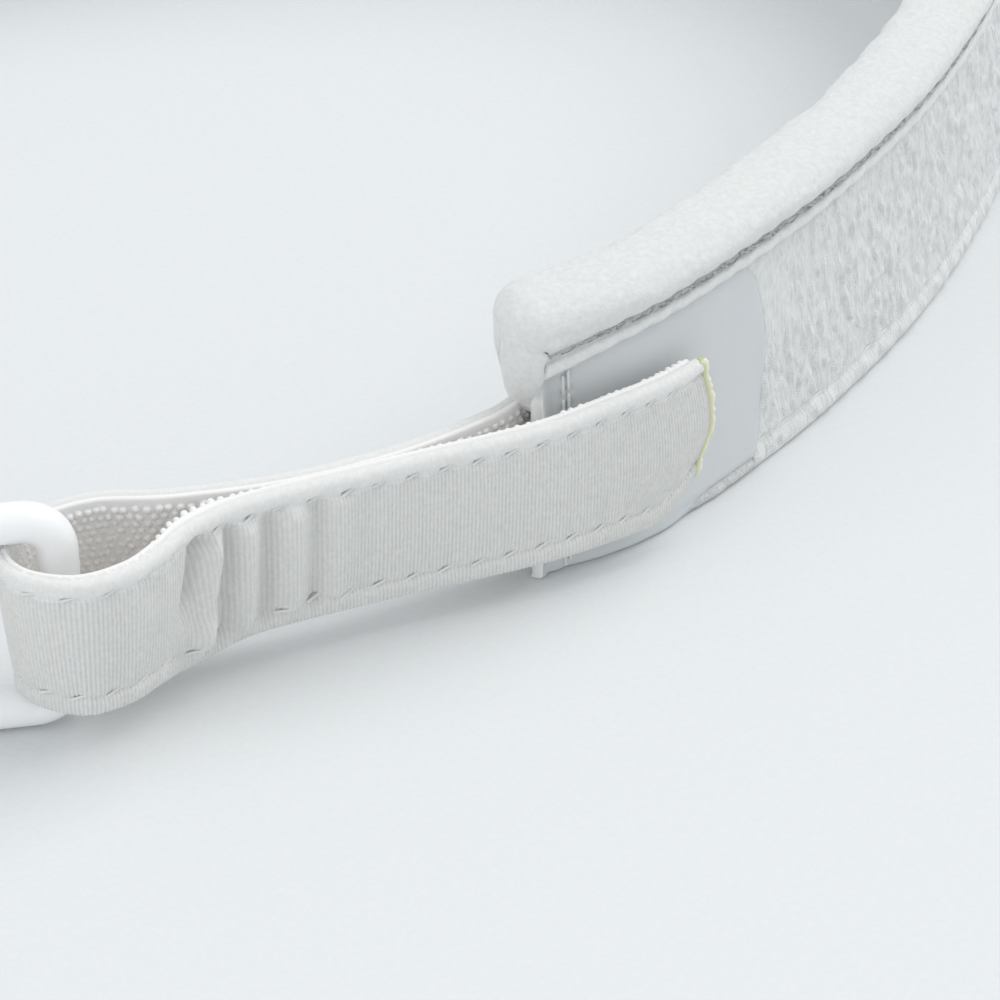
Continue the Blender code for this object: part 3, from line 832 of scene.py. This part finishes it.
def build_hooks(name, first, last, high, radius, reach, material, folds):
    """Uneven staggered rows of soft moulded hooks; reach gives their height by x and level."""
    pitch = (high - HOOK_LOWEST) / (HOOK_ROWS - 1)
    places = []
    for row in range(HOOK_ROWS):
        line = np.arange(first + (row % 2) * HOOK / 2, last, HOOK)
        places.append(np.column_stack([line, np.full(len(line), HOOK_LOWEST + row * pitch)]))
    along, level = np.vstack(places).T
    up = level + 0.16 * noise(along * 1.3, level * 1.9, 42)
    along = along + 0.20 * noise(along * 1.7, level * 1.3, 41)
    x = strap.at(along)[0][:, 0]
    face = -WEBBING - TAPE_GAP - (tape_depth(x) if folds else np.full(len(x), TAPE))
    if folds:
        face = face + fold_back(strap_folds(x, up))
    size = radius + 0.06 * noise(along * 2.3, level * 2.1, 43)
    tall = reach(x, level) * (1 + 0.3 * noise(along * 2.9, level * 1.7, 44))
    root = strap_point(*tip_spot(along, face + 0.25, up))
    tip = strap_point(*tip_spot(along + 0.08, face - tall, up + 0.1))
    return capsules(name, root, tip, size, material)


def strap_stitches(name, first, last, height, material, folds):
    """Short stitches, each deep in its pocket."""
    middle = (np.arange(np.ceil(first / STITCH), np.floor(last / STITCH)) + 0.5) * STITCH
    sides = []
    for end in (-1, 1):
        along = middle + end * 0.62
        up = np.full(len(along), height + end * 0.30)
        out = np.full(len(along), -0.24)
        if folds:
            out = out + strap_folds(strap.at(along)[0][:, 0], up)
        sides.append(strap_point(*tip_spot(along, out, up)))
    return capsules(name, sides[0], sides[1], STRAND, material)


def hook_reach_base(x, level):
    """Height of the base hooks' tip centres over their tape, below 0 where they are sunk in it."""
    tall = -0.28 + 0.05 * ease(x, -40, -24) + 0.16 * ease(x, -36, -20) * ease(level, 9, 13)
    loop = ease(x, -22, 0)
    return tall - 0.4 * loop * (1 - ease(level, 8 + 3 * loop, 11 + 3 * loop))


def hook_reach_free(x, level):
    """The same for the front hooks: they stand out only high up in the open part of the loop."""
    open_loop = ease(x, -9, -1) * (1 - ease(x, 3.5, 5.5))
    return -0.15 + 0.28 * open_loop * ease(level, 6, 12) - 0.2 * ease(x, 3.5, 6)


def build_strap(cloth, tape, thread, cut_edge):
    """The strip is split behind the ring's bar into a base part and a front part."""
    split, end = STRAP_SPLIT, strap.length
    base = {
        "strap_base_strip": build_strip("strap_base_strip", 0.0, split, cloth, False),
        "strap_base_tape": build_tape("strap_base_tape", 1.0, split, 15.9, tape, False),
        "strap_base_hooks": build_hooks("strap_base_hooks", 9.0, split, 14.6, 0.42,
                                        hook_reach_base, tape, False),
    }
    front = {
        "strap_front_strip": build_strip("strap_front_strip", split, end, cloth, True),
        "strap_front_tape": build_tape("strap_front_tape", split, end - 0.4, 16.0, tape, True),
        "strap_front_hooks": build_hooks("strap_front_hooks", split, end - 1, 15.6, 0.34,
                                         hook_reach_free, tape, True),
    }
    for level, height_up in (("lower", EDGE_LOW), ("upper", STRAP_WIDTH - EDGE)):
        base["base_stitches_" + level] = strap_stitches(
            "base_stitches_" + level, 13.0, split, height_up, thread, False)
        front["front_stitches_" + level] = strap_stitches(
            "front_stitches_" + level, split, end - 0.5, height_up, thread, True)
        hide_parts("strap_base_thread_" + level)
        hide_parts("strap_free_thread_" + level)
    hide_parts("strap_base_webbing")
    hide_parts("strap_base_loop_tape")
    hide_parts("strap_free_webbing")
    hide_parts("strap_free_hook_tape")
    for piece in base.values():
        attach(piece, "root")
    for piece in front.values():
        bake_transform(piece)
    tip = build_tip(cut_edge)
    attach(tip, "strap_free")


def build_tip(material):
    """The cut end: a thin sealed edge with a frayed fringe."""
    up = np.linspace(0.1, STRAP_WIDTH - 0.1, 130)
    turn = np.linspace(0, 2 * pi, 17)[:-1]
    fray = 1 + 0.25 * noise(up / 0.5, up * 0, 51)[:, None] * (np.cos(turn) > 0)
    from_edge = np.minimum(up, STRAP_WIDTH - up)
    proud = 0.1 * bump(from_edge, 0.9, 0.8) + 0.18 * np.sin(pi * up / STRAP_WIDTH) + 0.1
    rounding = np.sqrt(np.clip(1 - (1 - np.clip(from_edge / 0.5, 0, 1)) ** 2, 0.02, 1))
    middle = -0.4 + (proud / 2) * rounding
    half = (proud + WEBBING) / 2 * rounding
    forward = np.sign(np.cos(turn)) * np.abs(np.cos(turn)) ** 0.6
    outward = np.sign(np.sin(turn)) * np.abs(np.sin(turn)) ** 0.45
    grid_along = strap.length - 0.05 + 0.95 * fray * np.maximum(forward, -0.1)
    grid_out = middle[:, None] + half[:, None] * outward
    grid_up = np.broadcast_to(up[:, None], grid_out.shape)
    points = strap_point(*tip_spot(grid_along, grid_out, grid_up))
    around = np.broadcast_to(np.append(forward, 1.0), (len(up), len(turn) + 1))
    uv = np.stack([around, np.broadcast_to(up[:, None], around.shape)], -1)
    return surface("strap_tip_edge", points, uv, material, loop=True, caps=True, flip=True)


# The ring end.

def build_tab(material):
    """Ribbed webbing loop round the ring's bar, both ends sewn into the band end."""
    bar = np.array([BAR[0], BAR[1] + BAND_SHIFT])
    radius = BAR_RADIUS + CLEARANCE + WEBBING / 2
    inset = np.linspace(12.0, 0.6, 24)
    row, side = band.at(band.length - inset)
    outer = row[:, :2] + side * -2.95
    inner = (row[:, :2] + side * -4.1)[::-1]
    angle = np.radians(np.linspace(70, 290, 40))
    loop = bar + radius * np.column_stack([np.cos(angle), np.sin(angle)])
    line = np.vstack([outer, loop, inner])
    run = run_along(line)
    lean = np.concatenate([np.full(len(outer), WALL_LEAN), np.zeros(len(loop)),
                           np.full(len(inner), WALL_LEAN)])
    distance = np.arange(0, run[-1], RIB / 5)
    plan = np.column_stack([np.interp(distance, run, line[:, i]) for i in (0, 1)])
    window = 25
    soft = np.hanning(window) / np.hanning(window).sum()
    for column in (0, 1):
        padded = np.pad(plan[:, column], window // 2, mode="edge")
        plan[:, column] = np.convolve(padded, soft, mode="valid")
    tilt = np.interp(distance, run, lean)
    tangent = np.gradient(plan, axis=0)
    tangent /= np.linalg.norm(tangent, axis=1)[:, None]
    normal = np.column_stack([-tangent[:, 1], tangent[:, 0]])
    section, front = ribbon_section(TAB_WIDTH, WEBBING, 0.1)
    low = 0.2 + (24.0 - TAB_WIDTH) / 2
    up = np.broadcast_to(section[:, 1], (len(distance), len(section)))
    relief = ribbon_relief(distance[:, None] + 0 * up, up, TAB_WIDTH, 0.3) * 0.6 * front
    out = section[:, 0] + relief + WEBBING / 2
    flat = plan[:, None, :] + normal[:, None, :] * out[..., None]
    back = -tilt[:, None] * (up + low)
    points = np.stack([flat[..., 0], flat[..., 1] + back, up + low], -1)
    girth = run_along(section)
    uv = np.stack(np.meshgrid(distance, np.append(girth, girth[-1] + 0.3), indexing="ij"), -1)
    tab = surface("ring_tab_webbing", points, uv, material, loop=True, caps=True, flip=True)
    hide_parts("ring_tab")
    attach(tab, "root")


def finish_ring(material):
    """The ring keeps its CAD shape, with its edges softened as a moulded part's are."""
    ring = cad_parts["ring"]
    ring.data.materials.clear()
    ring.data.materials.append(material)
    skin = ring.modifiers.new("moulded_skin", "REMESH")
    skin.mode = "VOXEL"
    skin.voxel_size = 0.28 * MM
    skin.use_smooth_shade = True
    soften = ring.modifiers.new("soften", "SMOOTH")
    soften.factor = 0.5
    soften.iterations = 8


# Floor, light and camera.

def build_stage():
    shader = Shader("pale_table", (0.70, 0.72, 0.73), 0.6, Specular_IOR_Level=0.2)
    shader.tint(shader.lumps(0.6, 2), (0.765, 0.785, 0.795), (0.785, 0.805, 0.815))
    shader.raise_by(shader.lumps(0.8, 3), 0.02)
    corners = np.array([(-1, -1, 0), (1, -1, 0), (1, 1, 0), (-1, 1, 0)]) * FLOOR_HALF
    floor = add_mesh("floor", corners, [[0, 1, 2, 3]], shader.material)
    world = bpy.data.worlds.new("soft_room")
    bpy.context.scene.world = world
    world.use_nodes = True
    backdrop = world.node_tree.nodes["Background"]
    backdrop.inputs["Color"].default_value = (0.95, 0.98, 1.0, 1)
    backdrop.inputs["Strength"].default_value = 0.70
    soft_sun("key", (-0.7, -0.05, 0.9), 1.3, 50, (1.0, 0.99, 0.975))
    soft_sun("fill", (1.0, 0.2, 0.45), 0.65, 60, (0.98, 0.99, 1.0))


def soft_sun(name, place, power, spread, colour):
    """Even light from a broad part of the sky, so its shadows are soft."""
    lamp = bpy.data.lights.new(name, "SUN")
    lamp.angle = radians(spread)
    lamp.energy = power
    lamp.color = colour
    holder = bpy.data.objects.new(name, lamp)
    bpy.context.scene.collection.objects.link(holder)
    aim = (-Vector(place)).to_track_quat("-Z", "Y")
    holder.matrix_world = aim.to_matrix().to_4x4()


def build_camera():
    """Close view of the closure from behind the head, 36 degrees above the table."""
    lens = bpy.data.cameras.new("camera")
    lens.lens = 100
    lens.sensor_width = 24
    lens.clip_start = 0.01
    camera = bpy.data.objects.new("camera", lens)
    bpy.context.scene.collection.objects.link(camera)
    turn, rise = radians(CAMERA_TURN), radians(CAMERA_RISE)
    back = Vector((np.sin(turn) * np.cos(rise), np.cos(turn) * np.cos(rise), np.sin(rise)))
    across, along, above = CAMERA_PLACE
    place = Vector((across, along + BAND_SHIFT, above)) * MM
    aim = (-back).to_track_quat("-Z", "Y")
    camera.matrix_world = Matrix.Translation(place) @ aim.to_matrix().to_4x4()
    bpy.context.scene.camera = camera


def main():
    build_camera()
    cloth = webbing_material()
    thread = thread_material()
    patch = patch_material()
    build_pad(terry_material())
    crepe = crepe_material()
    build_shell(crepe)
    build_hem_tail("hem_tail_strap_side", False, crepe)
    build_hem_tail("hem_tail_ring_side", True, crepe)
    build_patch("patch_strap_side", "end_patch_strap_side", False, patch)
    build_patch("patch_ring_side", "end_patch_ring_side", True, patch)
    band_stitches("rim_stitches", "rim_seam_thread", 1.5, band.length - 1.5, LIP_STITCH, 0.12,
                  thread)
    band_stitches("hem_stitches", "hem_thread", 27.5, band.length - 27.5, HEM, -0.44, thread)
    end_stitches("end_stitches_strap_side", "end_thread_strap_side", False, thread)
    end_stitches("end_stitches_ring_side", "end_thread_ring_side", True, thread)
    build_strap(cloth, tape_material(), thread, cut_edge_material())
    build_tab(cloth)
    finish_ring(ring_material())
    build_stage()
    bpy.context.scene.view_settings.view_transform = "Standard"


main()
